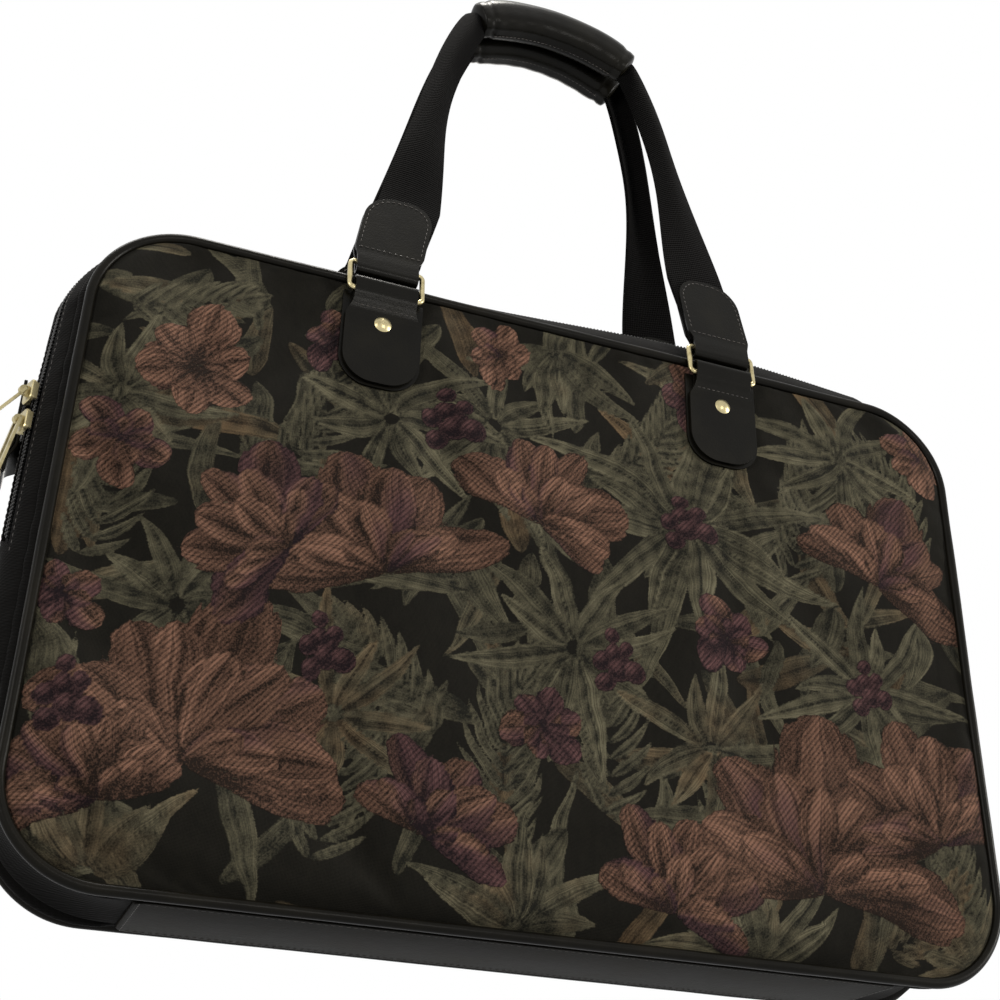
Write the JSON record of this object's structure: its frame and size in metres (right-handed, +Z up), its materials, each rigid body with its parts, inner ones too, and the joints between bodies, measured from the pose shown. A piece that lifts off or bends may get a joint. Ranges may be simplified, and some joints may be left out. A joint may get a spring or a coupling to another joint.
{
  "type": "carpet bag",
  "caption": "Soft tapestry travel bag with piped panels, zipped gusset, two webbing handles on rectangular rings, riveted tabs and end D-rings.",
  "frame": {"origin": "middle of the base, on the surface that the bag stands on, half way between the two panels", "axes": "+Z up, +X along the bag to its right end seen from the front, +Y from the front panel to the back panel"},
  "size_m": [0.5771, 0.0846, 0.6073],
  "materials": {
    "tapestry": "woven jacquard",
    "piping_vinyl": "semi-gloss",
    "gusset_cloth": "matt",
    "lining_cloth": "matt",
    "board": "plain",
    "zip_tape": "matt",
    "zip_coil": "satin",
    "brass": "polished pale",
    "leatherette": "semi-gloss",
    "webbing": "matt"
  },
  "bodies": {
    "bag": {"front_panel": "tapestry", "back_panel": "tapestry", "front_piping": "piping_vinyl", "back_piping": "piping_vinyl", "base_strip": "piping_vinyl", "front_gusset": "gusset_cloth", "back_gusset": "gusset_cloth", "lower_gusset": "gusset_cloth", "lining": "lining_cloth", "base_board": "board", "front_zip_tape": "zip_tape", "back_zip_tape": "zip_tape", "zip_chain": "zip_coil", "rivets": "brass", "front_left_tab": "leatherette", "front_left_patch": "leatherette", "front_right_tab": "leatherette", "front_right_patch": "leatherette", "back_left_tab": "leatherette", "back_left_patch": "leatherette", "back_right_tab": "leatherette", "back_right_patch": "leatherette", "left_chape": "leatherette", "right_chape": "leatherette"},
    "front_rings": {"front_left_ring": "brass", "front_right_ring": "brass"},
    "front_handle": {"front_left_strap_end": "leatherette", "front_right_strap_end": "leatherette", "front_webbing": "webbing", "front_grip": "leatherette"},
    "back_rings": {"back_left_ring": "brass", "back_right_ring": "brass"},
    "back_handle": {"back_left_strap_end": "leatherette", "back_right_strap_end": "leatherette", "back_webbing": "webbing", "back_grip": "leatherette"},
    "upper_slider": {"upper_slider": "brass"},
    "lower_slider": {"lower_slider": "brass"},
    "upper_pull": {"upper_pull": "brass"},
    "lower_pull": {"lower_pull": "brass"},
    "left_d_ring": {"left_d_ring": "brass"},
    "right_d_ring": {"right_d_ring": "brass"}
  },
  "joints": [
    {"name": "front_rings_hinge", "type": "hinge", "parent": "bag", "child": "front_rings", "pos_m": [0, -0.03895, 0.335], "axis": [1, 0, 0], "range_deg": [0, 100]},
    {"name": "front_handle_hinge", "type": "hinge", "parent": "front_rings", "child": "front_handle", "pos_m": [0, -0.03695, 0.3539], "axis": [1, 0, 0], "range_deg": [0, 75]},
    {"name": "back_rings_hinge", "type": "hinge", "parent": "bag", "child": "back_rings", "pos_m": [0, 0.03895, 0.335], "axis": [-1, 0, 0], "range_deg": [0, 100]},
    {"name": "back_handle_hinge", "type": "hinge", "parent": "back_rings", "child": "back_handle", "pos_m": [0, 0.03695, 0.3539], "axis": [-1, 0, 0], "range_deg": [0, 75]},
    {"name": "upper_slider_slide", "type": "slide", "parent": "bag", "child": "upper_slider", "axis": [0, 0, 1], "range_m": [0, 0.04]},
    {"name": "lower_slider_slide", "type": "slide", "parent": "bag", "child": "lower_slider", "axis": [0, 0, -1], "range_m": [0, 0.045]},
    {"name": "upper_pull_hinge", "type": "hinge", "parent": "upper_slider", "child": "upper_pull", "pos_m": [-0.27552, -0.01057, 0.246], "axis": [-0.3397, 0.9405, 0], "range_deg": [-4, 110]},
    {"name": "lower_pull_hinge", "type": "hinge", "parent": "lower_slider", "child": "lower_pull", "pos_m": [-0.27552, -0.01057, 0.229], "axis": [-0.3397, 0.9405, 0], "range_deg": [-8, 27]},
    {"name": "left_d_ring_hinge", "type": "hinge", "parent": "bag", "child": "left_d_ring", "pos_m": [-0.27985, 0.013, 0.208], "axis": [0, 1, 0], "range_deg": [-8, 140]},
    {"name": "right_d_ring_hinge", "type": "hinge", "parent": "bag", "child": "right_d_ring", "pos_m": [0.27985, 0.013, 0.208], "axis": [0, -1, 0], "range_deg": [-8, 140]}
  ]
}
